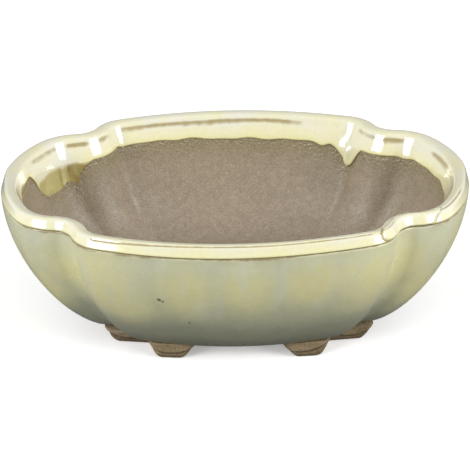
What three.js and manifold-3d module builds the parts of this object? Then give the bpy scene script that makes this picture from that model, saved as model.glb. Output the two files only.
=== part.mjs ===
// Bonsai pot: a shallow four-lobed (mokko) stoneware pot on four clay feet, glazed outside and over the rim.
// Millimetres. +X runs along the longer axis, -Y is the front, +Z is up, and the feet stand on Z = 0.
import * as THREE from "three";
import Module from "manifold-3d";
import { mergeVertices } from "three/addons/utils/BufferGeometryUtils.js";

// ---- Driving dimensions -----------------------------------------------------------------------
const HALF_LENGTH = 80; // to the glazed outer edge of the lip, along X
const HALF_DEPTH = 55.5; // the same, along Y
const HEIGHT = 52.5; // ground to the crest of the lip
const BASE_HEIGHT = 6.4; // ground to the underside of the floor, which is the height of the feet
const LIP_HEIGHT = 4; // the lip, from the top of the wall to its crest
const LIP_WIDTH = 6; // the glazed lip, measured inwards from its outer edge
const LIP_DISH = 0.9; // how far the lip's top falls towards the inside
const LIP_BEVEL = 1.2; // the bevel and the rounding at the lip's outer edge
const WALL_THICKNESS = 7.6; // from the glazed outer surface to the bare inner one
const ROLL_DEPTH = 1.4; // how much thinner the wall is where it meets the lip
const ROLL_HEIGHT = 3.5; // over which it swells inwards to its full thickness
const FLOOR_THICKNESS = 4;
const OUTER_GLAZE = 0.4; // thickness of the glaze outside
const RIM_GLAZE = 0.5; // thickness of the glaze over the lip and down the inside
const GLAZE_BAND = 6; // how far the rim's glaze runs down the inside, below the lip
const BARE_EDGE = 0.9; // the base edge left bare under the outer glaze
const WALL_CLEARANCE = 0.4; // between the wall's foot and the ring that bounds the open floor
const DRAIN_RADIUS = 8;
const DRAIN_SPACING = 48; // between the centres of the two drain holes

// The rim's outline in plan: per quarter five arcs that run into each other, from front to side.
const FRONT_RADIUS = 141; // long, nearly straight arc of the front and rear lobes
const FRONT_SHOULDER = { x: 39.6, radius: 13 }; // rounds the front lobe off
const NOTCH_RADIUS = 7.9; // the hollow between two lobes
const SIDE_SHOULDER = { y: -18.2, radius: 17.5 }; // rounds the side lobe off
const SIDE_RADIUS = 50.7; // the arc of the left and right lobes

// The wall's outer profile: the outline's scale grows from the base to the lip along a superellipse.
const BASE_SCALE = 0.705;
const PROFILE_BULGE = 1.8;
const PROFILE_ROUNDING = 1.3;
const COVE_HEIGHT = 9; // the hollow curve where the wall meets the floor inside
const COVE_SCALE = 0.08; // what the cove takes off the outline's scale at the floor

const ARC_STEPS = [4, 3, 3, 3, 3]; // facets in each of a quarter's five arcs

const LIP_BOTTOM = HEIGHT - LIP_HEIGHT;
const FLOOR_TOP = BASE_HEIGHT + FLOOR_THICKNESS;

// ---- Materials --------------------------------------------------------------------------------
function clay(colour) {
  return new THREE.MeshStandardMaterial({ color: colour, roughness: 0.85, metalness: 0 });
}

function glaze(colour) {
  return new THREE.MeshStandardMaterial({ color: colour, roughness: 0.25, metalness: 0 });
}

const BODY_CLAY = clay(0x8a7868);
const FOOT_CLAY = clay(0x8d7350);
const CELADON_GLAZE = glaze(0xb9bd9c);
const IVORY_GLAZE = glaze(0xe2dfb4);

// ---- Outline in plan --------------------------------------------------------------------------
// The part of a circle from one angle to another; bulge is 1 where the outline is convex, -1 in the notch.
function arcBetween(centre, radius, from, to, bulge) {
  return { centre, radius, from, to, bulge };
}

function directionAngle(from, to) {
  return Math.atan2(to.y - from.y, to.x - from.x);
}

// The quarter with x > 0 and y < 0, as five tangent arcs, for the rim's outline times the scale.
function quarterArcs(scale) {
  const frontRadius = FRONT_RADIUS * scale;
  const shoulderRadius = FRONT_SHOULDER.radius * scale;
  const notchRadius = NOTCH_RADIUS * scale;
  const sideShoulderRadius = SIDE_SHOULDER.radius * scale;
  const sideRadius = SIDE_RADIUS * scale;

  const front = new THREE.Vector2(0, frontRadius - HALF_DEPTH * scale);
  const side = new THREE.Vector2(HALF_LENGTH * scale - sideRadius, 0);

  const shoulderX = FRONT_SHOULDER.x * scale;
  const frontGap = frontRadius - shoulderRadius;
  const shoulder = new THREE.Vector2(shoulderX, front.y - Math.sqrt(frontGap ** 2 - shoulderX ** 2));

  const sideShoulderY = SIDE_SHOULDER.y * scale;
  const sideGap = sideRadius - sideShoulderRadius;
  const sideShoulder = new THREE.Vector2(side.x + Math.sqrt(sideGap ** 2 - sideShoulderY ** 2), sideShoulderY);

  // The notch's circle touches both shoulders from outside.
  const between = shoulder.clone().sub(sideShoulder);
  const distance = between.length();
  const reachSide = sideShoulderRadius + notchRadius;
  const reachFront = shoulderRadius + notchRadius;
  const along = (reachSide ** 2 - reachFront ** 2 + distance ** 2) / (2 * distance);
  const across = Math.sqrt(reachSide ** 2 - along ** 2);
  const direction = between.normalize();
  const outward = new THREE.Vector2(-direction.y, direction.x);
  const notch = sideShoulder.clone().addScaledVector(direction, along).addScaledVector(outward, across);

  const frontToShoulder = directionAngle(front, shoulder);
  const shoulderToNotch = directionAngle(shoulder, notch);
  const notchToShoulder = directionAngle(notch, shoulder);
  const notchToSide = directionAngle(notch, sideShoulder);
  const sideToNotch = directionAngle(sideShoulder, notch);
  const sideOut = directionAngle(side, sideShoulder);
  return [
    arcBetween(front, frontRadius, -Math.PI / 2, frontToShoulder, 1),
    arcBetween(shoulder, shoulderRadius, frontToShoulder, shoulderToNotch, 1),
    arcBetween(notch, notchRadius, notchToShoulder, notchToSide, -1),
    arcBetween(sideShoulder, sideShoulderRadius, sideToNotch, sideOut, 1),
    arcBetween(side, sideRadius, sideOut, 0, 1),
  ];
}

// The turn from one angle to another, the short way round.
function shortTurn(from, to) {
  const turn = to - from;
  return Math.atan2(Math.sin(turn), Math.cos(turn));
}

// Points of the quarter's arcs, moved inwards by the inset.
function quarterPoints(scale, inset) {
  const points = [];
  quarterArcs(scale).forEach((arc, index) => {
    const steps = ARC_STEPS[index];
    const radius = arc.radius - arc.bulge * inset;
    const turn = shortTurn(arc.from, arc.to);
    for (let step = 0; step < steps; step += 1) {
      const angle = arc.from + (turn * step) / steps;
      points.push(
        new THREE.Vector2(arc.centre.x + radius * Math.cos(angle), arc.centre.y + radius * Math.sin(angle)),
      );
    }
  });
  points.push(new THREE.Vector2(HALF_LENGTH * scale - inset, 0));
  return points;
}

// The closed outline, counterclockwise seen from above: the quarter and its three mirror images.
function outline(scale, inset) {
  const quarter = quarterPoints(scale, inset);
  const mirrored = (x, y) => quarter.map((point) => new THREE.Vector2(point.x * x, point.y * y));
  return [
    ...quarter.slice(0, -1),
    ...mirrored(1, -1).reverse().slice(0, -1),
    ...mirrored(-1, -1).slice(0, -1),
    ...mirrored(-1, 1).reverse().slice(0, -1),
  ];
}

// ---- Profile with height ----------------------------------------------------------------------
function profileScale(z) {
  const rise = Math.min(Math.max((z - BASE_HEIGHT) / (LIP_BOTTOM - BASE_HEIGHT), 0), 1);
  const bulge = (1 - (1 - rise) ** PROFILE_BULGE) ** (1 / PROFILE_ROUNDING);
  return BASE_SCALE + (1 - BASE_SCALE) * bulge;
}

// What the cove takes off the inner outline's scale: a quarter of an ellipse down to the floor.
function coveScale(z) {
  const drop = Math.min(Math.max((FLOOR_TOP + COVE_HEIGHT - z) / COVE_HEIGHT, 0), 1);
  return COVE_SCALE * (1 - Math.sqrt(1 - drop ** 2));
}

function outerRing(z, inset) {
  return outline(profileScale(z), inset).map((point) => new THREE.Vector3(point.x, point.y, z));
}

function innerRing(z, inset) {
  return outline(profileScale(z) - coveScale(z), inset).map((point) => new THREE.Vector3(point.x, point.y, z));
}

// From the glazed outer surface to the bare inner one at a height: thinner at the lip.
function wallThickness(z) {
  const rise = Math.min(Math.max((z - LIP_BOTTOM + ROLL_HEIGHT) / ROLL_HEIGHT, 0), 1);
  return WALL_THICKNESS - ROLL_DEPTH * rise;
}

// ---- Solids from rings ------------------------------------------------------------------------
// Joins rings of equal length side by side; each quad becomes two triangles.
function stitch(indices, ringSize, lower, upper) {
  for (let i = 0; i < ringSize; i += 1) {
    const next = (i + 1) % ringSize;
    const a = lower * ringSize + i;
    const b = lower * ringSize + next;
    const c = upper * ringSize + next;
    const d = upper * ringSize + i;
    indices.push(a, b, c, a, c, d);
  }
}

function ringGeometry(rings, indices) {
  const geometry = new THREE.BufferGeometry();
  geometry.setAttribute("position", new THREE.Float32BufferAttribute(rings.flat().flatMap((p) => p.toArray()), 3));
  geometry.setIndex(indices);
  geometry.computeVertexNormals();
  return geometry;
}

// A closed band: the rings go up the outside and down the inside, and the last one meets the first.
function bandGeometry(rings) {
  const indices = [];
  rings.forEach((_, index) => stitch(indices, rings[0].length, index, (index + 1) % rings.length));
  return ringGeometry(rings, indices);
}

// A solid block: the rings go up, and a flat cap closes each end.
function blockGeometry(rings) {
  const size = rings[0].length;
  const indices = [];
  for (let index = 0; index + 1 < rings.length; index += 1) stitch(indices, size, index, index + 1);
  const top = (rings.length - 1) * size;
  const flat = rings[0].map((point) => new THREE.Vector2(point.x, point.y));
  const flatTop = rings[rings.length - 1].map((point) => new THREE.Vector2(point.x, point.y));
  THREE.ShapeUtils.triangulateShape(flat, []).forEach(([a, b, c]) => indices.push(a, c, b));
  THREE.ShapeUtils.triangulateShape(flatTop, []).forEach(([a, b, c]) => indices.push(top + a, top + b, top + c));
  return ringGeometry(rings, indices);
}

// ---- Booleans ---------------------------------------------------------------------------------
const wasm = await Module();
wasm.setup();

function toManifold(geometry) {
  const plain = new THREE.BufferGeometry();
  plain.setAttribute("position", geometry.getAttribute("position"));
  plain.setIndex(geometry.index);
  const merged = mergeVertices(plain, 1e-4);
  return new wasm.Manifold(
    new wasm.Mesh({
      numProp: 3,
      vertProperties: merged.attributes.position.array,
      triVerts: new Uint32Array(merged.index.array),
    }),
  );
}

function fromManifold(solid) {
  const mesh = solid.getMesh();
  const geometry = new THREE.BufferGeometry();
  geometry.setAttribute("position", new THREE.Float32BufferAttribute(mesh.vertProperties, 3));
  geometry.setIndex(Array.from(mesh.triVerts));
  geometry.computeVertexNormals();
  return geometry;
}

// ---- Sub-parts --------------------------------------------------------------------------------
const pot = new THREE.Group();

function add(name, geometry, material) {
  const mesh = new THREE.Mesh(geometry, material);
  mesh.name = name;
  pot.add(mesh);
}

// Heights at which the outer surface bends most, closest together near the base.
const EDGE_LEVELS = [BASE_HEIGHT + BARE_EDGE, BASE_HEIGHT + 1.8, BASE_HEIGHT + 2.8, FLOOR_TOP];
const WALL_LEVELS = [FLOOR_TOP, 14, 20, 28, 38, LIP_BOTTOM];
const ROLL_BOTTOM = LIP_BOTTOM - ROLL_HEIGHT;
const BAND_BOTTOM = LIP_BOTTOM - GLAZE_BAND;
const COVE_TOP = FLOOR_TOP + COVE_HEIGHT;
const INNER_LEVELS = [LIP_BOTTOM, ROLL_BOTTOM, BAND_BOTTOM, 33, 25, COVE_TOP, 14.5, 11.7, FLOOR_TOP];

// The flat floor, whose flaring edge carries the foot of the wall, with two round drain holes.
// Its top has a ring just clear of the wall, so that no facet of the open floor runs under the wall.
function floorSlab() {
  const rings = [BASE_HEIGHT, ...EDGE_LEVELS].map((z) => outerRing(z, OUTER_GLAZE));
  rings.push(innerRing(FLOOR_TOP, WALL_THICKNESS + WALL_CLEARANCE));
  let slab = toManifold(blockGeometry(rings));
  for (const side of [-1, 1]) {
    const drill = new THREE.CylinderGeometry(DRAIN_RADIUS, DRAIN_RADIUS, 3 * FLOOR_THICKNESS, 32);
    drill.rotateX(Math.PI / 2);
    drill.translate((side * DRAIN_SPACING) / 2, 0, BASE_HEIGHT + FLOOR_THICKNESS / 2);
    slab = slab.subtract(toManifold(drill));
  }
  return fromManifold(slab);
}

// The lobed wall, standing on the floor's edge.
function potWall() {
  const outside = WALL_LEVELS.map((z) => outerRing(z, OUTER_GLAZE));
  const inside = INNER_LEVELS.map((z) => innerRing(z, wallThickness(z)));
  return bandGeometry([...outside, ...inside]);
}

// The lip's clay: bevelled outside, dished on top and rounded inside.
const LIP_PROFILE = [
  { inset: 0, drop: LIP_HEIGHT },
  { inset: 0, drop: LIP_BEVEL },
  { inset: LIP_BEVEL, drop: 0 },
  { inset: LIP_WIDTH - 0.8, drop: LIP_DISH },
  { inset: LIP_WIDTH, drop: LIP_DISH + 0.8 },
];

// The same profile moved into the clay by the thickness of the glaze; the lip's own height stays out of it.
function lipRing(point, thickness) {
  const inset = Math.min(Math.max(point.inset, thickness), LIP_WIDTH - RIM_GLAZE);
  const z = point.drop === LIP_HEIGHT ? LIP_BOTTOM : HEIGHT - point.drop - thickness;
  return outline(1, inset).map((p) => new THREE.Vector3(p.x, p.y, z));
}

function rimLip() {
  const rings = LIP_PROFILE.map((point) => lipRing(point, OUTER_GLAZE));
  return bandGeometry([...rings, innerRing(LIP_BOTTOM, wallThickness(LIP_BOTTOM))]);
}

// Glaze over the lip and down the inside, ending on the bare wall below it.
function rimGlaze() {
  const glazed = LIP_PROFILE.map((point) =>
    outline(1, point.inset).map((p) => new THREE.Vector3(p.x, p.y, HEIGHT - point.drop)),
  );
  const levels = [LIP_BOTTOM, ROLL_BOTTOM, BAND_BOTTOM];
  const face = levels.map((z) => innerRing(z, wallThickness(z) + RIM_GLAZE));
  const back = levels.map((z) => innerRing(z, wallThickness(z))).reverse();
  const covered = LIP_PROFILE.map((point) => lipRing(point, OUTER_GLAZE)).reverse();
  return bandGeometry([...glazed, ...face, ...back, ...covered]);
}

// The thin coat outside, from the bare base edge to the lip.
function outerGlaze() {
  const levels = [...EDGE_LEVELS, ...WALL_LEVELS.slice(1)];
  const outside = levels.map((z) => outerRing(z, 0));
  const inside = levels.map((z) => outerRing(z, OUTER_GLAZE)).reverse();
  return bandGeometry([...outside, ...inside]);
}

// ---- Feet -------------------------------------------------------------------------------------
// Plan of the foot at the front right, counterclockwise: a bracket that follows the notch from under the
// front lobe to under the side lobe. Each corner has its place under the floor and its place on the ground.
const FOOT_CORNERS = [
  { top: [13.9, -37.6], ground: [17.6, -36.1], radius: 2 },
  { top: [29.5, -36.2], ground: [28.6, -35.1], radius: 3 },
  { top: [32, -28.2], ground: [31.2, -26.8], radius: 0.8 },
  { top: [46.6, -26.2], ground: [44.6, -25.4], radius: 2.4 },
  { top: [44.4, -17.4], ground: [41.8, -17.6], radius: 2 },
  { top: [27, -19.2], ground: [27.4, -19.2], radius: 3 },
  { top: [23.4, -28.6], ground: [23.6, -28], radius: 2 },
  { top: [15, -29.2], ground: [18.2, -28.6], radius: 2 },
];
const CORNER_STEPS = 3;
const FOOT_ROUNDING = 0.7; // at the foot's lower edge

// A polygon with rounded corners, as points; a lerp of 0 gives the top's corners, of 1 the ground's.
function roundedPolygon(corners, lerp, inset) {
  const at = corners.map((corner) =>
    new THREE.Vector2(...corner.top).lerp(new THREE.Vector2(...corner.ground), lerp),
  );
  return corners.flatMap((corner, index) => {
    const here = at[index];
    const before = at[(index + at.length - 1) % at.length].clone().sub(here).normalize();
    const after = at[(index + 1) % at.length].clone().sub(here).normalize();
    const half = Math.acos(before.dot(after)) / 2;
    const centre = here.clone().addScaledVector(before.clone().add(after).normalize(), corner.radius / Math.sin(half));
    const convex = before.cross(after) < 0 ? 1 : -1;
    const radius = corner.radius - convex * inset;
    const start = Math.atan2(-before.x * -convex, before.y * -convex);
    const turn = convex * (Math.PI - 2 * half);
    return Array.from({ length: CORNER_STEPS + 1 }, (_, step) => {
      const angle = start + (turn * step) / CORNER_STEPS;
      return new THREE.Vector2(centre.x + radius * Math.cos(angle), centre.y + radius * Math.sin(angle));
    });
  });
}

function footRings() {
  const levels = [
    { z: 0, inset: FOOT_ROUNDING },
    { z: 0.3 * FOOT_ROUNDING, inset: 0.3 * FOOT_ROUNDING },
    { z: FOOT_ROUNDING, inset: 0 },
    { z: BASE_HEIGHT, inset: 0 },
  ];
  return levels.map(({ z, inset }) => ({ z, points: roundedPolygon(FOOT_CORNERS, 1 - z / BASE_HEIGHT, inset) }));
}

// One foot, mirrored into its corner of the pot; an odd number of mirrors turns the rings round.
function foot(x, y) {
  const rings = footRings().map(({ z, points }) => {
    const placed = points.map((point) => new THREE.Vector3(point.x * x, point.y * y, z));
    return x * y < 0 ? placed.reverse() : placed;
  });
  return blockGeometry(rings);
}

add("floor_slab", floorSlab(), BODY_CLAY);
add("pot_wall", potWall(), BODY_CLAY);
add("rim_lip", rimLip(), BODY_CLAY);
add("outer_glaze", outerGlaze(), CELADON_GLAZE);
add("rim_glaze", rimGlaze(), IVORY_GLAZE);
for (const [end, y] of [["front", 1], ["rear", -1]]) {
  for (const [hand, x] of [["left", -1], ["right", 1]]) {
    add(`foot_${end}_${hand}`, foot(x, y), FOOT_CLAY);
  }
}

export default pot;
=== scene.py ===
"""Looks of the four-lobed bonsai pot: glazes, bare clay and feet.

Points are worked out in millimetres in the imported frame's axes: X along the pot, -Y to the front, Z up.
"""

import math

import bpy
import numpy as np
from mathutils import Matrix, Vector, noise
from mathutils.geometry import delaunay_2d_cdt


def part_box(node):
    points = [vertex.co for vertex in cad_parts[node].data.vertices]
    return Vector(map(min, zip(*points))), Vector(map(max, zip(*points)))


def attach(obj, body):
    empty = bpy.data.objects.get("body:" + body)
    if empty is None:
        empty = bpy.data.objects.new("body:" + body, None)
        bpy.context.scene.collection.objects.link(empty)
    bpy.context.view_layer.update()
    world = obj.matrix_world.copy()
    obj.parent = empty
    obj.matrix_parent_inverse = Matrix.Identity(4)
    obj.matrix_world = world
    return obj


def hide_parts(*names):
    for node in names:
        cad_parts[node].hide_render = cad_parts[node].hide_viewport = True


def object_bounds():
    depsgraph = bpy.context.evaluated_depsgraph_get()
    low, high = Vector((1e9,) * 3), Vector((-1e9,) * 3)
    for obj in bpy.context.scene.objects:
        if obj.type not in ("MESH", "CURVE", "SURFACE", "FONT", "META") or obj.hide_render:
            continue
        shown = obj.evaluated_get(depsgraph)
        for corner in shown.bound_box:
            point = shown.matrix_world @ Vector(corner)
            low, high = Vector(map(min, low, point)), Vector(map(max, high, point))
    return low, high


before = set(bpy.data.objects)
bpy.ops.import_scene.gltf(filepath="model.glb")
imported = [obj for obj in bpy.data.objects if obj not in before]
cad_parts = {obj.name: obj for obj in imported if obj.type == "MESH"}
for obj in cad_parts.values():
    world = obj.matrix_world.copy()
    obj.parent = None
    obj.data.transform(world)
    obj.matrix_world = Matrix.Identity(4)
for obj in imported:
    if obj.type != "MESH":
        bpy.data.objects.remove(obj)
CAD_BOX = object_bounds()

MM = 0.001  # one millimetre in Blender's metres

# ---- Sizes, in millimetres --------------------------------------------------------------------
HALF_LENGTH = CAD_BOX[1][0] / MM
HALF_DEPTH = CAD_BOX[1][1] / MM
HEIGHT = CAD_BOX[1][2] / MM
BASE_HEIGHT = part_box("floor_slab")[0][2] / MM
FLOOR_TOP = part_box("floor_slab")[1][2] / MM
LIP_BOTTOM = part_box("pot_wall")[1][2] / MM
GLAZE_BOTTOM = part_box("outer_glaze")[0][2] / MM

WALL_THICKNESS = 7.6  # glazed outer surface to bare inner surface
ROLL_DEPTH = 1.65  # how much thinner the wall is where it meets the lip
ROLL_HEIGHT = 6.7  # over which it swells inwards to its full thickness
OUTER_GLAZE = 0.4
DRAIN_RADIUS = 8.0
DRAIN_CENTRES = (-24.0, 24.0)
DRAIN_ROUNDING = 0.9

# The rim's outline: per quarter five tangent arcs, from the front lobe to the side lobe.
FRONT_RADIUS = 141.0
FRONT_SHOULDER_X = 39.6
FRONT_SHOULDER_RADIUS = 13.0
NOTCH_RADIUS = 7.9
SIDE_SHOULDER_Y = -18.2
SIDE_SHOULDER_RADIUS = 17.5
SIDE_RADIUS = 50.7
ARC_STEPS = (46, 24, 20, 24, 34)

# The wall's profile: the outline's scale grows with height along a superellipse.
BASE_SCALE = 0.705
PROFILE_BULGE = 1.8
PROFILE_ROUNDING = 1.3
COVE_HEIGHT = 16.0
COVE_SCALE = 0.15

GLAZE_EDGE = 44.2  # the usual height of the rim glaze's lower edge inside
LIP_LINE = 0.8  # the brown line under the lip
FLASH_REACH = 4.0  # how far below the rim's glaze the clay is left shiny
CREASE_DEPTH = 0.5  # of the groove along the top of the front lip
CREASE_WIDTH = 0.36
FOLD_HEIGHT = 0.5  # of the glaze that folds over the right front notch

# The lip's section, from its outer foot over the crest to the wall inside.
LIP_KEYS = (
    # inset from the outer edge and drop below the crest, at the front and then at the back
    (0.42, 3.6, 0.42, 4.0),
    (0.08, 3.38, 0.08, 3.7),
    (0.0, 2.95, 0.0, 2.9),
    (0.46, 2.1, 0.02, 1.9),
    (0.95, 1.22, 0.16, 1.1),
    (1.32, 0.62, 0.6, 0.4),
    (1.75, 0.25, 1.3, 0.08),
    (2.4, 0.04, 2.3, 0.0),
    (3.2, 0.12, 3.3, 0.08),
    (4.2, 0.32, 4.2, 0.3),
    (4.75, 0.62, 4.75, 0.62),
    (5.1, 1.05, 5.1, 1.05),
    (5.4, 1.7, 5.4, 1.7),
    (5.75, 2.5, 5.75, 2.5),
    (6.1, 3.3, 6.1, 3.3),
    (6.45, 4.0, 6.45, 4.0),
)

# Places round the rim, in millimetres counterclockwise from the middle of the front.
TONGUE = 47.2  # the rounded end of the glaze folded over the right front notch
FOLD_END = 72.0  # its other end, which is slanted
DRIP_START = 162.0
DRIP_TIP = 168.6
DRIP_END = 183.5
SHEET_START = 282.2  # the sheet of glaze that ran down the left end
SHEET_END = 321.0
SHORT_END = 350.0  # from the sheet to here the glaze stops short
STAIN_START = 283.5  # of the olive stain in the sheet
STAIN_END = 315.0
FILM_START = 287.0  # of the part of the sheet that is only a film
FILM_END = 316.0

# Stretches of the rim: strength, start, end and fade.
CREASE_STRETCHES = (
    (1.0, -45.5, 43, 2.5),
    (0.55, 51, 56, 4),
    (0.8, 77, 92, 5),
)
OCHRE_STRETCHES = (
    (0.75, 200, 262, 8),
    (0.8, 151.5, 158, 2),
    (0.5, 160, 166, 2),
    (0.8, 117, 130, 5),
    (0.9, 283.8, 290, 1.5),
    (0.55, 299, 312, 4),
    (0.35, 60, 100, 10),
)
OCHRE_SPOT = 279.3  # a short, strong one between the others
OCHRE_EVERYWHERE = 0.2

# Plan of the foot at the front right: top corner, ground corner and radius.
FOOT_CORNERS = (
    ((13.9, -37.6), (18.4, -36.7), 2.0),
    ((29.5, -36.2), (27.6, -36.0), 3.0),
    ((32.0, -28.2), (31.2, -26.8), 0.8),
    ((46.6, -26.2), (43.8, -25.2), 2.4),
    ((44.4, -17.4), (41.8, -17.6), 2.0),
    ((27.0, -19.2), (27.4, -19.2), 3.0),
    ((23.4, -28.6), (23.6, -28.0), 2.0),
    ((15.0, -29.2), (18.2, -28.6), 2.0),
)
FOOT_SHIFT = 0.8  # the feet were put on a little to the right
FOOT_WEAR = 1.3  # how far the lower edge is worn back, and up to what height
FOOT_WEAR_HEIGHT = 2.8

# Yellow patches of the outer glaze where it ran thick, and in the first two rows painted light on the
# front shoulders: centre and radius.
YELLOW_PATCHES_AND_LIT_SHOULDERS = (
    ((-40, -44, 37), 20),
    ((41, -44, 37), 19),
    ((-34, -46, 29), 14),
    ((-53, -37, 35), 17),
    ((53, -37, 36), 18),
    ((-16, -52, 36), 17),
    ((4, -53, 37), 16),
    ((24, -51, 38), 16),
    ((-70, -18, 33), 20),
    ((70, -20, 35), 20),
    ((62, -30, 23), 20),
    ((-64, -28, 24), 15),
    ((30, 50, 33), 22),
    ((-20, 51, 31), 24),
    ((-60, 33, 32), 18),
    ((62, 31, 28), 18),
)
FLECKS = (((-24.3, -51.1, 32.1), 1.2), ((-23.2, -51.2, 31.4), 0.8), ((-15.1, -49.2, 21.9), 0.9))
DROPS_ON_CLAY = (((-66.5, 9.5, 34.0), 1.5), ((-66.8, 6.0, 32.5), 0.9))

# ---- Light and camera -------------------------------------------------------------------------
SKY_LIGHT = 0.3
SIDE_LIGHT = 1.25
GROUND_LIGHT = 0.16
SOFTBOXES = (
    # name, azimuth, elevation, width and height as angles in degrees, and radiance
    ("softbox_left", -141, 25, 27, 19, 12.5),
    ("softbox_right", -31, 25, 27, 20, 12.5),
)
FLOOR_SIZE = 60  # metres, so that its far edge stays on the horizon in low views

# Angles in degrees, lengths in millimetres; the target is the point in the middle of the view.
CAMERA_AZIMUTH = 0.39
CAMERA_ELEVATION = 28.0
CAMERA_DISTANCE = 476.2
CAMERA_TARGET = (-0.26, 0.0, 27.9)
CAMERA_ROLL = -0.89
LENS = 103.7
SENSOR = 36.0


# ---- Outline ----------------------------------------------------------------------------------
def direction_angle(start, end):
    """The angle of the line from one point to another."""
    return math.atan2(end[1] - start[1], end[0] - start[0])


def short_turn(start, end):
    """The shorter turn from one angle to another."""
    return math.atan2(math.sin(end - start), math.cos(end - start))


def quarter_arcs():
    """Centre, radius, start angle, turn and bulge of each arc, for x > 0 and y < 0.

    The bulge is 1 where an arc is convex and -1 where it is hollow.
    """
    front = np.array([0.0, FRONT_RADIUS - HALF_DEPTH])
    side = np.array([HALF_LENGTH - SIDE_RADIUS, 0.0])
    front_gap = FRONT_RADIUS - FRONT_SHOULDER_RADIUS
    shoulder = np.array([FRONT_SHOULDER_X, front[1] - math.sqrt(front_gap**2 - FRONT_SHOULDER_X**2)])
    side_gap = SIDE_RADIUS - SIDE_SHOULDER_RADIUS
    side_shoulder = np.array([side[0] + math.sqrt(side_gap**2 - SIDE_SHOULDER_Y**2), SIDE_SHOULDER_Y])

    between = shoulder - side_shoulder
    distance = math.hypot(*between)
    reach_side = SIDE_SHOULDER_RADIUS + NOTCH_RADIUS
    reach_front = FRONT_SHOULDER_RADIUS + NOTCH_RADIUS
    along = (reach_side**2 - reach_front**2 + distance**2) / (2 * distance)
    across = math.sqrt(reach_side**2 - along**2)
    direction = between / distance
    outward = np.array([-direction[1], direction[0]])
    notch = side_shoulder + along * direction + across * outward

    front_out = direction_angle(front, shoulder)
    to_notch = direction_angle(shoulder, notch)
    notch_start = direction_angle(notch, shoulder)
    notch_end = direction_angle(notch, side_shoulder)
    from_notch = direction_angle(side_shoulder, notch)
    side_out = direction_angle(side, side_shoulder)
    spans = (
        (front, FRONT_RADIUS, -math.pi / 2, front_out, 1),
        (shoulder, FRONT_SHOULDER_RADIUS, front_out, to_notch, 1),
        (notch, NOTCH_RADIUS, notch_start, notch_end, -1),
        (side_shoulder, SIDE_SHOULDER_RADIUS, from_notch, side_out, 1),
        (side, SIDE_RADIUS, side_out, 0.0, 1),
    )
    return [
        (centre, radius, start, short_turn(start, end), bulge)
        for centre, radius, start, end, bulge in spans
    ]


def rim_outline():
    """Points and outward normals round the whole rim, counterclockwise from the middle of the front."""
    points = []
    normals = []
    for (centre, radius, start, turn, bulge), steps in zip(quarter_arcs(), ARC_STEPS):
        angles = start + turn * np.arange(steps) / steps
        ray = np.stack([np.cos(angles), np.sin(angles)], axis=1)
        points.append(centre + radius * ray)
        normals.append(bulge * ray)
    points.append(np.array([[HALF_LENGTH, 0.0]]))
    normals.append(np.array([[1.0, 0.0]]))
    quarter = (np.concatenate(points), np.concatenate(normals))

    def whole(values):
        return np.concatenate([
            values[:-1],
            (values * (1, -1))[:0:-1],
            (values * (-1, -1))[:-1],
            (values * (-1, 1))[:0:-1],
        ])

    return whole(quarter[0]), whole(quarter[1])


OUTLINE, NORMALS = rim_outline()
RING = len(OUTLINE)
STEP_LENGTHS = np.linalg.norm(np.roll(OUTLINE, -1, axis=0) - OUTLINE, axis=1)
RUN = np.concatenate([[0.0], np.cumsum(STEP_LENGTHS)[:-1]])  # millimetres round the rim
PERIMETER = STEP_LENGTHS.sum()


# ---- Profile ----------------------------------------------------------------------------------
def profile_scale(z):
    """The outer surface's share of the rim's outline at a height."""
    rise = np.clip((z - BASE_HEIGHT) / (LIP_BOTTOM - BASE_HEIGHT), 0, 1)
    bulge = (1 - (1 - rise) ** PROFILE_BULGE) ** (1 / PROFILE_ROUNDING)
    return BASE_SCALE + (1 - BASE_SCALE) * bulge


def cove_scale(z):
    """What the cove takes off that share inside."""
    drop = np.clip((FLOOR_TOP + COVE_HEIGHT - z) / COVE_HEIGHT, 0, 1)
    return COVE_SCALE * (1 - np.sqrt(1 - drop**2))


def ring_at(scale, inset, z):
    """One ring of points; scale, inset and z are numbers or one value per point of the outline."""
    scale = np.broadcast_to(scale, RING)[:, None]
    inset = np.broadcast_to(inset, RING)[:, None]
    flat = OUTLINE * scale - NORMALS * inset
    return np.column_stack([flat, np.broadcast_to(z, RING)])


def wall_thickness(z):
    """From the glazed outer surface to the bare inner one: the wall swells inwards under the lip."""
    rise = np.clip((z - LIP_BOTTOM + ROLL_HEIGHT) / ROLL_HEIGHT, 0, 1)
    return WALL_THICKNESS - ROLL_DEPTH * rise**2


def outer_ring(z, inset):
    return ring_at(profile_scale(z), inset, z)


def inner_ring(z, extra=0.0):
    """The bare inner surface, or one that much further inwards."""
    return ring_at(profile_scale(z) - cove_scale(z), wall_thickness(z) + extra, z)


def drift(points):
    """The slow unevenness of a hand-made pot, the same for every piece; nothing moves at the ground."""
    x, y, z = points.T
    fade = np.clip(z / 12, 0, 1)
    side = 0.3 * np.sin(x / 23 + 0.7) * np.cos(y / 19 + z / 31)
    depth = 0.25 * np.sin(y / 21 + 1.9) * np.cos(x / 27 + z / 29)
    lift = 0.16 * np.sin(x / 17 + 2.2) * np.sin(y / 26 + 0.4) * np.clip((z - 20) / 25, 0, 1)
    return points + np.column_stack([side * fade, depth * fade, lift * fade])


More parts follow.
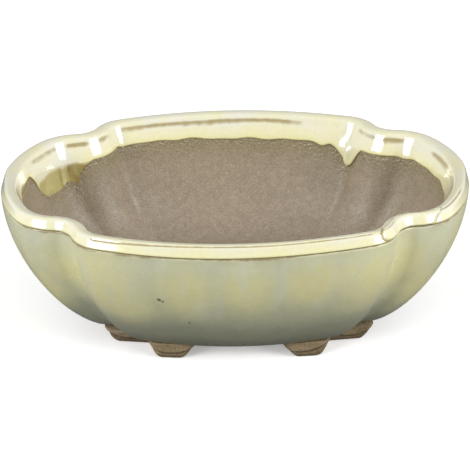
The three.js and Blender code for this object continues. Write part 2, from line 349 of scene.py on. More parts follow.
# ---- Meshes -----------------------------------------------------------------------------------
def make_object(name, node, points, faces, material, attributes=None):
    """A shaded piece that stands for a CAD node; points are in millimetres."""
    mesh = bpy.data.meshes.new(name)
    mesh.from_pydata((drift(np.asarray(points)) * MM).tolist(), [], faces)
    mesh.validate()
    for key, values in (attributes or {}).items():
        layer = mesh.attributes.new(key, "FLOAT", "POINT")
        layer.data.foreach_set("value", np.asarray(values, dtype=np.float32))
    mesh.shade_smooth()
    mesh.set_sharp_from_angle(angle=math.radians(60))
    mesh.materials.append(material)
    piece = bpy.data.objects.new(name, mesh)
    bpy.context.scene.collection.objects.link(piece)
    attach(piece, "root")
    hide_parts(node)
    return piece


def band_faces(count, size=RING, closed=True):
    """Quads between neighbouring rings; closed joins the last ring to the first."""
    faces = []
    for ring in range(count if closed else count - 1):
        lower = ring * size
        upper = ((ring + 1) % count) * size
        for i in range(size):
            j = (i + 1) % size
            faces.append((lower + i, lower + j, upper + j, upper + i))
    return faces


def eased(start, end, count):
    """Values from start to end, closer together at both ends."""
    t = np.linspace(0, 1, count)
    return start + (end - start) * (1 - np.cos(math.pi * t)) / 2


def smooth_path(keys, steps):
    """A Catmull-Rom curve through the key points, with that many steps between neighbours."""
    keys = np.asarray(keys, dtype=float)
    padded = np.vstack([2 * keys[0] - keys[1], keys, 2 * keys[-1] - keys[-2]])
    path = []
    for i in range(1, len(padded) - 2):
        before, here, there, after = padded[i - 1 : i + 3]
        for t in np.arange(steps) / steps:
            path.append(
                0.5
                * (
                    2 * here
                    + (there - before) * t
                    + (2 * before - 5 * here + 4 * there - after) * t**2
                    + (3 * here - before - 3 * there + after) * t**3
                )
            )
    path.append(keys[-1])
    return np.array(path)


def rim_gap(values, place):
    """Signed distance in millimetres along the rim, which closes on itself."""
    return (values - place + PERIMETER / 2) % PERIMETER - PERIMETER / 2


def hill(place, width):
    """A smooth bump of height 1 at a place on the rim."""
    return np.exp(-((rim_gap(RUN, place) / width) ** 2))


def smooth(values):
    """Values from 0 to 1, eased at both ends and held beyond them."""
    clipped = np.clip(values, 0, 1)
    return clipped * clipped * (3 - 2 * clipped)


def stretch(start, end, fade):
    """1 from start to end along the rim, easing to 0 over the fade beyond them."""
    beyond = np.abs(rim_gap(RUN, (start + end) / 2)) - (end - start) / 2
    return smooth(1 - beyond / fade)


def stretches(table):
    """The sum of the stretches in a table."""
    return sum(strength * stretch(start, end, fade) for strength, start, end, fade in table)


# ---- Materials --------------------------------------------------------------------------------
class Nodes:
    """Short calls for building one material's node tree."""

    def __init__(self, name):
        self.material = bpy.data.materials.new(name)
        self.material.use_nodes = True
        self.tree = self.material.node_tree
        self.shader = self.tree.nodes["Principled BSDF"]
        self.place = self.tree.nodes.new("ShaderNodeTexCoord").outputs["Object"]

    def link(self, source, target):
        self.tree.links.new(source, target)

    def feed(self, socket, value):
        if isinstance(value, bpy.types.NodeSocket):
            self.link(value, socket)
        else:
            socket.default_value = value

    def attribute(self, name):
        node = self.tree.nodes.new("ShaderNodeAttribute")
        node.attribute_name = name
        return node.outputs["Fac"]

    def math(self, operation, a, b=0.0, clamp=False):
        node = self.tree.nodes.new("ShaderNodeMath")
        node.operation = operation
        node.use_clamp = clamp
        self.feed(node.inputs[0], a)
        self.feed(node.inputs[1], b)
        return node.outputs[0]

    def stretched(self, scale):
        """The object's own coordinates, scaled along each axis."""
        node = self.tree.nodes.new("ShaderNodeMapping")
        node.inputs["Scale"].default_value = scale
        self.link(self.place, node.inputs["Vector"])
        return node.outputs["Vector"]

    def noise(self, size, detail=3.0, stretch=(1, 1, 1), distortion=0.0):
        """Noise between 0 and 1 whose blotches are about that many millimetres wide."""
        node = self.tree.nodes.new("ShaderNodeTexNoise")
        node.inputs["Scale"].default_value = 1 / (size * MM)
        node.inputs["Detail"].default_value = detail
        node.inputs["Distortion"].default_value = distortion
        self.link(self.stretched(stretch), node.inputs["Vector"])
        return node.outputs["Fac"]

    def ramp(self, value, stops, smooth=True):
        """Colours or greys by value; stops are (place, colour or number)."""
        node = self.tree.nodes.new("ShaderNodeValToRGB")
        node.color_ramp.interpolation = "EASE" if smooth else "LINEAR"
        elements = node.color_ramp.elements
        while len(elements) < len(stops):
            elements.new(1.0)
        for element, (place, colour) in zip(elements, stops):
            element.position = place
        for element, (place, colour) in zip(elements, stops):
            grey = isinstance(colour, (int, float))
            element.color = (colour, colour, colour, 1) if grey else (*colour, 1)
        self.feed(node.inputs["Fac"], value)
        return node.outputs["Color"]

    def mix(self, factor, a, b, blend="MIX"):
        node = self.tree.nodes.new("ShaderNodeMix")
        node.data_type = "RGBA"
        node.blend_type = blend
        self.feed(node.inputs["Factor"], factor)
        self.feed(node.inputs["A"], a if isinstance(a, bpy.types.NodeSocket) else (*a, 1))
        self.feed(node.inputs["B"], b if isinstance(b, bpy.types.NodeSocket) else (*b, 1))
        return node.outputs["Result"]

    def uneven(self, value, amount, size, detail, stretch=(1, 1, 1)):
        """The value with noise added, which spans that amount and has blotches of that size."""
        wander = self.math("SUBTRACT", self.noise(size, detail, stretch), 0.5)
        return self.math("ADD", value, self.math("MULTIPLY", wander, amount))

    def mottle(self, colour, noise, strength, dark=0.3):
        """The colour made lighter and darker by a noise."""
        shade = self.ramp(noise, [(0.3, dark), (0.7, 1 - dark)])
        return self.mix(strength, colour, shade, "SOFT_LIGHT")

    def along(self, axis, length):
        """The place along an axis as a share of that many millimetres."""
        node = self.tree.nodes.new("ShaderNodeSeparateXYZ")
        self.link(self.place, node.inputs[0])
        return self.math("DIVIDE", node.outputs[axis], length * MM)

    def spot(self, centre, radius):
        """1 at a point given in millimetres, falling to 0 at that radius."""
        node = self.tree.nodes.new("ShaderNodeVectorMath")
        node.operation = "DISTANCE"
        self.link(self.place, node.inputs[0])
        node.inputs[1].default_value = Vector(centre) * MM
        share = self.math("DIVIDE", node.outputs["Value"], radius * MM)
        return self.math("SUBTRACT", 1.0, share, clamp=True)

    def bump(self, *layers):
        """Layers of (height from 0 to 1, depth in millimetres), stacked."""
        normal = None
        for height, depth in layers:
            node = self.tree.nodes.new("ShaderNodeBump")
            node.inputs["Strength"].default_value = 1.0
            node.inputs["Distance"].default_value = depth * MM
            self.feed(node.inputs["Height"], height)
            if normal is not None:
                self.link(normal, node.inputs["Normal"])
            normal = node.outputs["Normal"]
        self.link(normal, self.shader.inputs["Normal"])


def largest(n, values):
    """The largest of several node values."""
    total = values[0]
    for value in values[1:]:
        total = n.math("MAXIMUM", total, value)
    return total


def outer_glaze_material():
    """Pale celadon: cool under the lip, yellow half-way, grey-green and darker towards the base, with
    painted light on the front shoulders and side lobes and painted shade in the middle of the front and
    back.
    """
    n = Nodes("outer_glaze")
    level = n.uneven(n.along("Z", HEIGHT), 0.16, 24, 2, (1, 1, 0.6))
    body = n.ramp(level, [
        (0.10, (0.220, 0.225, 0.150)),
        (0.30, (0.355, 0.365, 0.250)),
        (0.50, (0.510, 0.510, 0.345)),
        (0.72, (0.595, 0.600, 0.415)),
        (0.86, (0.590, 0.600, 0.435)),
        (0.97, (0.520, 0.510, 0.325)),
    ])
    ragged = n.noise(10, 4, (1, 1, 0.9))
    # Yellow where the glaze ran thick, and painted light on the front shoulders.
    patch_and_painted_light = largest(n, [n.spot(centre, radius) for centre, radius in YELLOW_PATCHES_AND_LIT_SHOULDERS])
    patch_and_painted_light = n.ramp(n.math("MULTIPLY", patch_and_painted_light, n.math("ADD", ragged, 0.4)), [(0.0, 0.0), (0.75, 0.85)])
    colour = n.mix(patch_and_painted_light, body, (0.74, 0.70, 0.36))
    # Painted light and shade: the side lobes kept bright and the middle of the front and back darkened, as
    # the side light falls on them.
    lobe = n.math("ABSOLUTE", n.along("X", HALF_LENGTH))
    colour = n.mix(1.0, colour, n.ramp(lobe, [(0.25, 0.86), (0.6, 1.0)]), "MULTIPLY")
    streaks = n.ramp(n.noise(6, 3, (1, 1, 0.3)), [(0.45, 0.0), (0.75, 0.45)])
    streaks = n.math("MULTIPLY", streaks, n.ramp(level, [(0.35, 0.0), (0.7, 1.0)]))
    colour = n.mix(streaks, colour, (0.58, 0.61, 0.50))
    colour = n.mottle(colour, n.noise(3.2, 4), 0.12)
    colour = n.mottle(colour, n.noise(0.55, 2), 0.14)
    fleck = largest(n, [n.spot(centre, radius) for centre, radius in FLECKS])
    fleck = n.ramp(n.math("MULTIPLY", fleck, n.noise(0.6, 3)), [(0.12, 0.0), (0.3, 0.8)])
    colour = n.mix(fleck, colour, (0.10, 0.09, 0.04))
    line = n.ramp(n.uneven(n.attribute("lip_shadow"), 0.9, 2.5, 4), [(0.45, 0.0), (1.0, 0.8)])
    colour = n.mix(line, colour, (0.19, 0.13, 0.045))
    n.link(colour, n.shader.inputs["Base Color"])
    n.link(n.ramp(n.noise(6, 3), [(0.3, 0.26), (0.7, 0.36)]), n.shader.inputs["Roughness"])
    n.shader.inputs["Coat Weight"].default_value = 0.25
    n.shader.inputs["Coat Roughness"].default_value = 0.16
    n.bump((n.noise(5, 2), 0.04), (n.noise(0.7, 2), 0.01))
    return n.material


def rim_glaze_material():
    """Ivory: yellow where it pools, ochre where it breaks over an edge, olive where it is stained, with
    painted shade in the lip's crease and along the steps of the fold over the right front notch.
    """
    n = Nodes("rim_glaze")
    above = n.math("DIVIDE", n.attribute("edge_distance"), 10.0)
    cloudy = n.ramp(n.noise(11, 3), [(0.3, 0.0), (0.7, 1.0)])
    ivory = n.mix(cloudy, (0.72, 0.69, 0.46), (0.705, 0.69, 0.56))
    pool = n.ramp(above, [(0.0, 0.0), (0.05, 0.12), (0.3, 0.58), (0.6, 1.0)])
    colour = n.mix(pool, (0.73, 0.69, 0.35), ivory)
    stain = n.ramp(n.uneven(n.attribute("stain"), 1.1, 4, 5), [(0.25, 0.0), (0.85, 0.95)])
    brown = n.ramp(n.attribute("stain_brown"), [(0.2, 0.0), (0.8, 1.0)])
    pale = n.ramp(n.noise(4, 3), [(0.4, 0.0), (0.7, 0.6)])
    stain_colour = n.mix(brown, (0.42, 0.36, 0.13), (0.27, 0.19, 0.05))
    stain_colour = n.mix(pale, stain_colour, (0.52, 0.46, 0.20))
    colour = n.mix(stain, colour, stain_colour)
    line = n.ramp(above, [(0.0, 1.0), (0.035, 0.7), (0.08, 0.0)])
    line = n.math("MULTIPLY", line, n.math("SUBTRACT", 1.0, n.math("MULTIPLY", n.attribute("film"), 0.8)))
    colour = n.mix(line, colour, (0.20, 0.165, 0.07))
    # Ochre where the glaze breaks thin, with painted shade in the crease and along the fold's steps.
    thin = n.uneven(n.attribute("edge_break_and_shade"), 0.75, 2.6, 4)
    colour = n.mix(n.ramp(thin, [(0.15, 0.0), (1.0, 0.9)]), colour, (0.33, 0.26, 0.11))
    colour = n.mottle(colour, n.noise(1.2, 3), 0.14)
    n.link(colour, n.shader.inputs["Base Color"])
    n.shader.inputs["Roughness"].default_value = 0.12
    n.shader.inputs["Coat Weight"].default_value = 1.0
    n.shader.inputs["Coat Roughness"].default_value = 0.03
    n.bump((n.noise(6, 2), 0.04))
    return n.material


def body_clay_material():
    """Bare stoneware: fine grain, small colour changes, painted light that makes it paler low down, and a
    sheen just below the rim's glaze.
    """
    n = Nodes("body_clay")
    colour = n.mix(n.noise(14, 3), (0.262, 0.215, 0.152), (0.32, 0.26, 0.188))
    # Painted light: the clay made paler low down, over the cove and the floor, where the front wall's
    # shade falls.
    painted_light_below = n.ramp(n.along("Z", 30), [(0.33, 0.75), (0.9, 0.0)])
    colour = n.mix(painted_light_below, colour, (0.385, 0.315, 0.235))
    grain = n.noise(0.45, 3)
    colour = n.mottle(colour, grain, 0.6, 0.25)
    colour = n.mottle(colour, n.noise(2.5, 3), 0.25)
    flash = n.attribute("flash")
    colour = n.mix(n.math("MULTIPLY", flash, 0.7), colour, (0.26, 0.215, 0.115))
    drop = largest(n, [n.spot(centre, radius) for centre, radius in DROPS_ON_CLAY])
    colour = n.mix(n.ramp(drop, [(0.1, 0.0), (0.4, 0.8)]), colour, (0.45, 0.38, 0.16))
    n.link(colour, n.shader.inputs["Base Color"])
    rough = n.ramp(n.noise(1.1, 2), [(0.3, 0.42), (0.7, 0.6)])
    rough = n.mix(flash, rough, (0.15, 0.15, 0.15))
    n.link(rough, n.shader.inputs["Roughness"])
    sparkle = n.math("MULTIPLY", n.noise(1.0, 2), flash)
    n.bump((n.noise(3, 2), 0.03), (grain, 0.05), (sparkle, 0.95))
    return n.material


def foot_material():
    """Rough brown clay, with painted shade in the carved line and a painted highlight on the upper tier,
    and a little glaze on the top of one foot's side.
    """
    n = Nodes("foot_clay")
    blotches = n.ramp(n.noise(5, 4), [(0.3, 0.0), (0.7, 1.0)])
    colour = n.mix(blotches, (0.15, 0.107, 0.052), (0.295, 0.215, 0.12))
    # Painted highlight: the proud upper tier made lighter.
    colour = n.mix(n.math("MULTIPLY", n.attribute("tier_highlight"), 0.35), colour, (0.33, 0.265, 0.155))
    grain = n.noise(0.6, 3)
    colour = n.mottle(colour, grain, 0.5, 0.2)
    # Painted shade: the carved line darkened.
    colour = n.mix(n.math("MULTIPLY", n.attribute("groove"), 0.8), colour, (0.05, 0.035, 0.015))
    colour = n.mix(n.attribute("glazed"), colour, (0.36, 0.33, 0.22))
    n.link(colour, n.shader.inputs["Base Color"])
    n.link(n.ramp(n.attribute("glazed"), [(0.0, 0.75), (1.0, 0.35)]), n.shader.inputs["Roughness"])
    n.bump((n.noise(1.8, 3), 0.16), (grain, 0.12))
    return n.material


# ---- Pieces -----------------------------------------------------------------------------------
def build_wall(material):
    """The wall's clay, with the swell under the lip and the cove at its foot inside."""
    outside = [outer_ring(z, OUTER_GLAZE) for z in eased(FLOOR_TOP, LIP_BOTTOM, 30)]
    inside = [inner_ring(z) for z in np.linspace(LIP_BOTTOM, FLOOR_TOP + COVE_HEIGHT, 60)[:-1]]
    turn = np.linspace(0, math.pi / 2, 20)
    cove = [inner_ring(FLOOR_TOP + COVE_HEIGHT * (1 - math.sin(t))) for t in turn]
    rings = outside + inside + cove
    edge = glaze_edge()
    flash = [np.zeros(RING)] * len(outside)
    flash += [np.exp(-np.abs(edge - ring[:, 2]) / FLASH_REACH) for ring in inside + cove]
    attributes = {"flash": np.concatenate(flash)}
    points = np.vstack(rings)
    faces = band_faces(len(rings))
    return make_object("wall_clay", "pot_wall", points, faces, material, attributes)


def build_outer_glaze(material):
    """The coat outside, from its rounded lower edge to the groove under the lip."""
    top = LIP_UNDERSIDE - 0.02
    edge = [(GLAZE_BOTTOM, OUTER_GLAZE - 0.05), (GLAZE_BOTTOM + 0.1, 0.15), (GLAZE_BOTTOM + 0.35, 0.03)]
    low = GLAZE_BOTTOM + 0.7
    levels = [low + (top - 0.9 - low) * share for share in eased(0, 1, 66)]
    groove = [(top - 0.6, 0.02), (top - 0.35, 0.08), (top - 0.15, 0.2), (top, 0.38)]
    outside = edge + [(z, 0.0) for z in levels] + groove
    rings = [outer_ring(z, inset) for z, inset in outside]
    for share in np.linspace(0, 1, 30):
        rings.append(outer_ring(top + (GLAZE_BOTTOM - top) * share, OUTER_GLAZE))
    waves = 0.6 + 0.4 * np.sin(RUN / 13 + 1) + 0.35 * np.sin(RUN / 5.3)
    reach = LIP_LINE * (waves + 0.9 * hill(375, 18) + 0.6 * hill(392, 8))
    shadow = [np.exp(-((top - ring[:, 2]) / np.maximum(reach, 0.3)) ** 2) for ring in rings]
    attributes = {"lip_shadow": np.concatenate(shadow)}
    points = np.vstack(rings)
    faces = band_faces(len(rings))
    return make_object("outer_glaze_coat", "outer_glaze", points, faces, material, attributes)


# 1 where the lip has its front section, 0 where it has the back one.
FRONT_SHARE = smooth((8 - OUTLINE[:, 1]) / 16)
LIP_UNDERSIDE = HEIGHT - LIP_KEYS[0][3] + (LIP_KEYS[0][3] - LIP_KEYS[0][1]) * FRONT_SHARE
CREASE_INSET = 2.1 + 0.15 * smooth(rim_gap(RUN, 5) / 30) - 0.6 * smooth(-rim_gap(RUN, -8) / 34)


def fold_ends(place):
    """Where the fold over the right front notch starts and ends, at a place up the lip and over it."""
    tongue = TONGUE + (0.6 if place < -1.2 else 0.13) * (place + 1.2) ** 2
    return tongue, FOLD_END + 0.9 * (place + 2)


def fold_cover(place):
    """The thicker glaze over the right front notch, from its rounded tongue to its slanted end."""
    tongue, end = fold_ends(place)
    return smooth((RUN - tongue) / 1.1) * smooth((end - RUN) / 1.1) * smooth((4.0 - place) / 1.6)


def fold_step_shade(place):
    """Painted shade: the brown lines along the steps at both ends of that fold."""
    tongue, end = fold_ends(place)
    at_tongue = np.exp(-((RUN - tongue) / 0.8) ** 2)
    at_end = np.exp(-((RUN - end - 0.2) / 0.5) ** 2)
    return (at_tongue + 0.8 * at_end) * smooth(4.0 - place)


def glaze_edge():
    """Height of the rim glaze's lower edge inside, round the rim, with its runs and drips."""
    waves = 0.18 * np.sin(RUN / 3.1 + 1.0) + 0.16 * np.sin(RUN / 1.9 + 2.0)
    sag = 0.7 * stretch(188, 225, 18) + 1.0 * hill(185.2, 2.4)
    drip = 7.4 + 0.8 * hill(DRIP_TIP, 2.2)
    drip = drip * smooth((DRIP_END - RUN) / 11) * smooth((RUN - DRIP_START) / 2.8)
    sheet = 8.4 * smooth((RUN - SHEET_START) / 6) * smooth((SHEET_END - RUN) / 11) - 1.4 * hill(294, 4)
    short = 2.9 * stretch(SHEET_END, SHORT_END, 6)
    return GLAZE_EDGE + waves - sag - drip - sheet + short


def drip_bulge():
    """Extra thickness of the glaze where it ran furthest, round the rim."""
    return 1.5 * hill(171.5, 6.5) + 0.2 * hill(185, 4)


def ochre_strength():
    """How thin the glaze is over the lip's inner edge, round the rim."""
    return stretches(OCHRE_STRETCHES) + 0.9 * hill(OCHRE_SPOT, 1.6) + OCHRE_EVERYWHERE


def film_share():
    """1 along the part of the sheet that is only a film."""
    return stretch(FILM_START, FILM_END, 3)


def lip_surface():
    """Rings over the lip, and for each how much the glaze breaks, with painted shade in its crease and
    along the fold's steps, and how far it is from its edge.
    """
    creased = stretches(CREASE_STRETCHES)
    ochre = ochre_strength()
    rings = []
    breaks = []
    distance = []
    for front_inset, front_drop, back_inset, back_drop in smooth_path(LIP_KEYS, 8):
        inset = back_inset + (front_inset - back_inset) * FRONT_SHARE
        drop = back_drop + (front_drop - back_drop) * FRONT_SHARE
        outer_half = float(back_inset < 4.6)
        place = back_inset - back_drop  # grows up the outer face and over the crest
        groove = np.exp(-(((inset - CREASE_INSET) / CREASE_WIDTH) ** 2))
        crease = outer_half * creased * groove * (drop < 1.2)
        cover = outer_half * FOLD_HEIGHT * fold_cover(place)
        height = HEIGHT - drop - CREASE_DEPTH * crease + 0.8 * cover
        rings.append(ring_at(1.0, inset - 0.45 * cover, height))

        fall = drop - 2.25 - 0.15 * np.sin(RUN / 9)
        spread = np.where(fall < 0, 0.65, 1.25 + 0.25 * np.sin(RUN / 6 + 1))
        inner_edge = (1 - outer_half) * np.exp(-((fall / spread) ** 2))
        # Ochre where the glaze breaks over the inner edge, with painted shade in the crease and along the
        # fold's steps.
        breaks.append(np.clip(ochre * inner_edge + outer_half * fold_step_shade(place) + crease, 0, 1))
        distance.append(np.full(RING, 1.0 + 1.6 * (place + 3.2) if outer_half else 10.0))
    return rings, breaks, distance


def band_surface(edge):
    """Rings down the inside to the glaze's rounded edge, and how far above that edge each one is."""
    top = HEIGHT - LIP_KEYS[-1][3]
    thick = LIP_KEYS[-1][2] - wall_thickness(top)
    bulge = drip_bulge()
    rings = []
    distance = []
    for share in eased(0, 1, 60)[1:]:
        z = top + (edge - top) * share
        above = z - edge
        rounding = np.sqrt(np.clip(1 - np.clip(1 - above / (0.9 + bulge), 0, 1) ** 2, 0, 1))
        bead = 0.08 * np.exp(-(((above - 1.5) / 1.6) ** 2)) + bulge * smooth((top - z) / 8)
        film = 1 - 0.85 * film_share() * smooth((44 - z) / 5)
        rings.append(inner_ring(z, (thick + bead) * rounding * film))
        distance.append(above)
    return rings, distance


def hidden_surface(edge):
    """Rings up the coat's back, against the wall and under the lip's clay."""
    rings = [inner_ring(z, -0.02) for z in (edge, edge + 2, LIP_BOTTOM)]
    inner = wall_thickness(LIP_BOTTOM) - 0.9
    for inset, drop in ((inner, 2.8), (4.0, 1.3), (1.75, 0.8), (1.0, 1.85), (0.5, 3.1)):
        rings.append(ring_at(1.0, inset, HEIGHT - drop))
    rings.append(ring_at(1.0, 0.5, LIP_UNDERSIDE))
    return rings


def stain_on(ring):
    """How stained each point of a ring is."""
    stained = stretch(STAIN_START, STAIN_END, 2) * (1 - 0.35 * hill(296.5, 2.6))
    stain_top = 43.9 - 0.8 * smooth((RUN - 305) / 8)
    return stained * smooth((stain_top - ring[:, 2]) / 4 + 0.5)


def build_rim_glaze(material):
    """The coat over the lip and down the inside, which ends in a rounded, wavy bead."""
    edge = glaze_edge()
    lip, breaks, distance = lip_surface()
    band, band_distance = band_surface(edge)
    hidden = hidden_surface(edge)
    rings = lip + band + hidden
    unbroken = [np.zeros(RING)] * (len(band) + len(hidden))
    behind = [ring[:, 2] - edge for ring in hidden]
    brown = stretch(281, 292, 3) + 0.6 * hill(299.5, 2)
    attributes = {
        "edge_distance": np.clip(np.concatenate(distance + band_distance + behind), 0, 12),
        "edge_break_and_shade": np.concatenate(breaks + unbroken),
        "stain": np.concatenate([stain_on(ring) for ring in rings]),
        "film": np.tile(film_share(), len(rings)),
        "stain_brown": np.tile(brown, len(rings)),
    }
    points = np.vstack(rings)
    faces = band_faces(len(rings))
    return make_object("rim_glaze_coat", "rim_glaze", points, faces, material, attributes)


def build_lip(material):
    """The lip's clay, all under glaze."""
    inner = wall_thickness(LIP_BOTTOM) - 0.06
    outer_half = ((0.52, 4.0), (0.52, 3.1), (1.02, 1.87), (1.77, 0.83))
    inner_half = ((4.0, 1.35), (inner - 0.9, 2.8), (inner, 4.0))
    rings = [ring_at(1.0, inset, HEIGHT - drop) for inset, drop in outer_half + inner_half]
    faces = band_faces(len(rings))
    return make_object("lip_clay", "rim_lip", np.vstack(rings), faces, material)


def circle(x, y, radius, z, count):
    angles = np.linspace(0, 2 * math.pi, count, endpoint=False)
    return np.column_stack([x + radius * np.cos(angles), y + radius * np.sin(angles), np.full(count, z)])


def fill_flat(outer, holes, upward):
    """Triangles of a flat face with holes; each loop is its vertex numbers and its points."""
    loops = [outer, *holes]
    numbers = [number for ids, _ in loops for number in ids]
    points = [Vector((x, y)) for _, ring in loops for x, y, _ in ring]
    starts = [0]
    for ids, _ in loops:
        starts.append(starts[-1] + len(ids))
    outlines = [list(range(start, end)) for start, end in zip(starts, starts[1:])]
    _, _, triangles, sources, _, inside_of = delaunay_2d_cdt(points, [], outlines, 1, 1e-6)
    faces = []
    for triangle, loops_round_it in zip(triangles, inside_of):
        if loops_round_it == [0]:
            ids = [numbers[sources[vertex][0]] for vertex in triangle]
            faces.append(tuple(ids) if upward else tuple(reversed(ids)))
    return faces


def build_floor(material):
    """The floor slab, bare and rounded at its lower edge, with two drain holes that have rounded edges."""
    count = 64  # points round a drain hole
    outside = [(BASE_HEIGHT, 0.75), (BASE_HEIGHT + 0.08, 0.52)]
    outside += [(z, OUTER_GLAZE) for z in np.linspace(BASE_HEIGHT + 0.3, FLOOR_TOP, 10)]
    rings = [outer_ring(z, inset) for z, inset in outside]
    points = np.vstack(rings)
    faces = band_faces(len(rings), closed=False)
    bottom = (range(RING), rings[0])
    top = (range(len(points) - RING, len(points)), rings[-1])
    bottom_holes = []
    top_holes = []

    turns = np.linspace(0, math.pi / 2, 6)
    section = [
        (BASE_HEIGHT + DRAIN_ROUNDING * (1 - math.cos(t)), DRAIN_ROUNDING * (1 - math.sin(t)))
        for t in turns
    ]
    section += [(FLOOR_TOP - (z - BASE_HEIGHT), extra) for z, extra in reversed(section)]
    for x in DRAIN_CENTRES:
        first = len(points)
        hole = [circle(x, 0, DRAIN_RADIUS + extra, z, count) for z, extra in section]
        points = np.vstack([points, *hole])
        for face in band_faces(len(hole), count, closed=False):
            faces.append(tuple(first + i for i in reversed(face)))
        bottom_holes.append((range(first, first + count), hole[0]))
        top_holes.append((range(len(points) - count, len(points)), hole[-1]))
    faces += fill_flat(bottom, bottom_holes, False) + fill_flat(top, top_holes, True)
    return make_object("floor_clay", "floor_slab", points, faces, material)


def rounded_polygon(share, inset, steps=8, edge_steps=6):
    """The foot's plan, share of the way from its top to the ground, moved inwards by the inset."""
    corners = [np.array(top) * (1 - share) + np.array(ground) * share for top, ground, _ in FOOT_CORNERS]
    arcs = []
    for index, here in enumerate(corners):
        radius = FOOT_CORNERS[index][2]
        before = corners[index - 1] - here
        after = corners[(index + 1) % len(corners)] - here
        before /= np.linalg.norm(before)
        after /= np.linalg.norm(after)
        half = math.acos(before @ after) / 2
        middle = before + after
        centre = here + middle / np.linalg.norm(middle) * radius / math.sin(half)
        convex = 1 if before[0] * after[1] - before[1] * after[0] < 0 else -1
        start = math.atan2(before[0] * convex, -before[1] * convex)
        turn = convex * (math.pi - 2 * half)
        angles = start + turn * np.linspace(0, 1, steps)
        size = radius - convex * inset
        arcs.append(centre + size * np.column_stack([np.cos(angles), np.sin(angles)]))
    points = []
    for arc, following in zip(arcs, arcs[1:] + arcs[:1]):
        points.extend(arc)
        for t in np.arange(1, edge_steps) / edge_steps:
            points.append(arc[-1] * (1 - t) + following[0] * t)
    return np.array(points)


def foot_section():
    """Heights up a foot, and how far its worn, rounded lower edge is set back at each."""
    heights = np.linspace(0, BASE_HEIGHT, 46)
    below = 1 - np.clip(heights / FOOT_WEAR_HEIGHT, 0, 1)
    return heights, FOOT_WEAR * (1 - np.sqrt(1 - below**2))


def carved_line(plan, x_side):
    """Height of the line carved round a foot, which dips in the middle of the front and of the side."""
    along = (plan[:, 0] - 22) / 8
    side_along = (plan[:, 0] - 38) / 7
    front_line = 2.3 + 2.6 * along**2 + 0.7 * x_side * along
    side_line = 2.4 + 2.0 * side_along**2
    return np.where(plan[:, 0] < 31, front_line, side_line)


def build_foot(name, node, x_side, y_side, material):
    """One bracket foot in two tiers parted by a curved, carved line, with a worn, rounded lower edge."""
    rings = []
    grooves = []
    glazed = []
    tiers = []
    for z, worn in zip(*foot_section()):
        plan = rounded_polygon(1 - z / BASE_HEIGHT, worn)
        centre = plan.mean(axis=0)
        outwards = (plan - centre) / np.linalg.norm(plan - centre, axis=1)[:, None]
        line = carved_line(plan, x_side)
        groove = np.exp(-(((z - line) / 0.36) ** 2))
        proud = 0.28 * smooth((z - line) / 0.5) * smooth((BASE_HEIGHT - z) / 0.5)
        wear = [noise.noise(Vector((x / 3, y / 3, z / 3 + 7 * x_side + 3 * y_side))) for x, y in plan]
        push = proud - 0.6 * groove + 0.25 * np.array(wear) * min(1, z / 0.6, (BASE_HEIGHT - z) / 0.6)
        plan = plan + outwards * push[:, None]
        placed = (plan[:, 0] * x_side + FOOT_SHIFT, plan[:, 1] * y_side, np.full(len(plan), z))
        rings.append(np.column_stack(placed))
        # The groove also sets the painted shade in the carved line.
        grooves.append(groove)
        strip = smooth((z - 4.5) / 0.5) * smooth((5.9 - z) / 0.5) * (x_side < 0)
        glazed.append(smooth((plan[:, 0] - 30) / 3) * strip)
        # Where the proud upper tier gets its painted highlight.
        tiers.append(smooth((z - line) / 0.5))
    size = len(rings[0])
    faces = band_faces(len(rings), size, closed=False)
    faces.append(tuple(reversed(range(size))))
    faces.append(tuple((len(rings) - 1) * size + i for i in range(size)))
    if x_side * y_side < 0:
        faces = [tuple(reversed(face)) for face in faces]
    attributes = {
        "groove": np.concatenate(grooves),
        "glazed": np.concatenate(glazed),
        "tier_highlight": np.concatenate(tiers),
    }
    return make_object(name, node, np.vstack(rings), faces, material, attributes)


# ---- Stage ------------------------------------------------------------------------------------
def build_stage():
    """A pale floor that the camera sees, but that neither lights the pot nor shows in its glaze."""
    bpy.ops.mesh.primitive_plane_add(size=FLOOR_SIZE)
    floor = bpy.context.object
    floor.name = "studio_floor"
    material = bpy.data.materials.new("studio_floor")
    material.use_nodes = True
    shader = material.node_tree.nodes["Principled BSDF"]
    shader.inputs["Base Color"].default_value = (0.93, 0.93, 0.93, 1)
    shader.inputs["Roughness"].default_value = 0.9
    shader.inputs["Specular IOR Level"].default_value = 0.1
    shader.inputs["Emission Color"].default_value = (1, 1, 1, 1)
    shader.inputs["Emission Strength"].default_value = 0.28
    floor.data.materials.append(material)
    floor.visible_diffuse = False
    floor.visible_glossy = False


def aim(thing, place, target):
    """Puts a light at a place, facing the target, both in millimetres."""
    thing.location = Vector(place) * MM
    thing.rotation_euler = (Vector(target) - Vector(place)).to_track_quat("-Z", "Y").to_euler()


def add_softbox(name, azimuth, elevation, width, height, radiance, distance=900, target=(0, 0, 40)):
    """A rectangular light at that direction from the pot; width and height are angles as seen from it."""
    across = 2 * distance * math.tan(math.radians(width / 2))
    tall = 2 * distance * math.tan(math.radians(height / 2))
    light = bpy.data.lights.new(name, "AREA")
    light.shape = "RECTANGLE"
    light.size = across * MM
    light.size_y = tall * MM
    light.energy = radiance * math.pi * across * tall * MM * MM
    flat = math.cos(math.radians(elevation)) * distance
    turn = math.radians(azimuth)
    height = target[2] + distance * math.sin(math.radians(elevation))
    place = (flat * math.cos(turn), flat * math.sin(turn), height)
    lamp = bpy.data.objects.new(name, light)
    bpy.context.scene.collection.objects.link(lamp)
    aim(lamp, place, target)


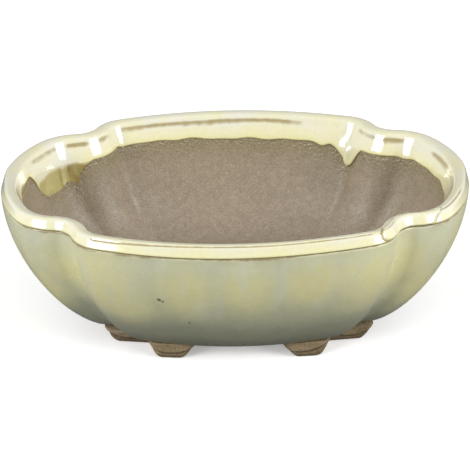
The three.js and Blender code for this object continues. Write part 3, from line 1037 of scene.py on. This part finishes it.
def build_world():
    """A soft white sky, brighter at both sides, over a dim ground."""
    world = bpy.data.worlds.new("studio")
    world.use_nodes = True
    tree = world.node_tree
    place = tree.nodes.new("ShaderNodeTexCoord")
    split = tree.nodes.new("ShaderNodeSeparateXYZ")
    tree.links.new(place.outputs["Generated"], split.inputs[0])

    def calculate(operation, a, b):
        node = tree.nodes.new("ShaderNodeMath")
        node.operation = operation
        for socket, value in zip(node.inputs, (a, b)):
            if isinstance(value, bpy.types.NodeSocket):
                tree.links.new(value, socket)
            else:
                socket.default_value = value
        return node.outputs[0]

    sideways = calculate("POWER", calculate("ABSOLUTE", split.outputs["X"], 0.0), 2.0)
    sky = calculate("ADD", calculate("MULTIPLY", sideways, SIDE_LIGHT), SKY_LIGHT)
    horizon = tree.nodes.new("ShaderNodeMapRange")
    horizon.inputs["From Min"].default_value = -0.02
    horizon.inputs["From Max"].default_value = 0.08
    tree.links.new(split.outputs["Z"], horizon.inputs["Value"])
    blend = tree.nodes.new("ShaderNodeMix")
    tree.links.new(horizon.outputs["Result"], blend.inputs["Factor"])
    blend.inputs["A"].default_value = GROUND_LIGHT
    tree.links.new(sky, blend.inputs["B"])
    tree.links.new(blend.outputs["Result"], tree.nodes["Background"].inputs["Strength"])
    tree.nodes["Background"].inputs["Color"].default_value = (1, 1, 1, 1)
    bpy.context.scene.world = world


def build_lights():
    build_world()
    for softbox in SOFTBOXES:
        add_softbox(*softbox)


def build_camera():
    azimuth = math.radians(CAMERA_AZIMUTH)
    elevation = math.radians(CAMERA_ELEVATION)
    flat = math.cos(elevation)
    back = Vector((math.sin(azimuth) * flat, -math.cos(azimuth) * flat, math.sin(elevation)))
    right = (-back).cross(Vector((0, 0, 1))).normalized()
    up = right.cross(-back)
    roll = math.radians(CAMERA_ROLL)
    tilted_right = right * math.cos(roll) + up * math.sin(roll)
    tilted_up = up * math.cos(roll) - right * math.sin(roll)
    place = (Vector(CAMERA_TARGET) + back * CAMERA_DISTANCE) * MM
    data = bpy.data.cameras.new("camera")
    data.lens = LENS
    data.sensor_width = SENSOR
    data.clip_start = 0.01
    camera = bpy.data.objects.new("camera", data)
    turned = Matrix((tilted_right, tilted_up, back)).transposed().to_4x4()
    camera.matrix_world = Matrix.Translation(place) @ turned
    bpy.context.scene.collection.objects.link(camera)
    bpy.context.scene.camera = camera


# ---- The scene --------------------------------------------------------------------------------
body_clay = body_clay_material()
foot_clay = foot_material()
celadon = outer_glaze_material()
ivory = rim_glaze_material()

build_floor(body_clay)
build_wall(body_clay)
build_lip(body_clay)
build_outer_glaze(celadon)
build_rim_glaze(ivory)
for end, y_side in (("front", 1), ("rear", -1)):
    for hand, x_side in (("left", -1), ("right", 1)):
        build_foot(f"{end}_{hand}_foot", f"foot_{end}_{hand}", x_side, y_side, foot_clay)

build_stage()
build_lights()
build_camera()
bpy.context.scene.view_settings.view_transform = "Standard"
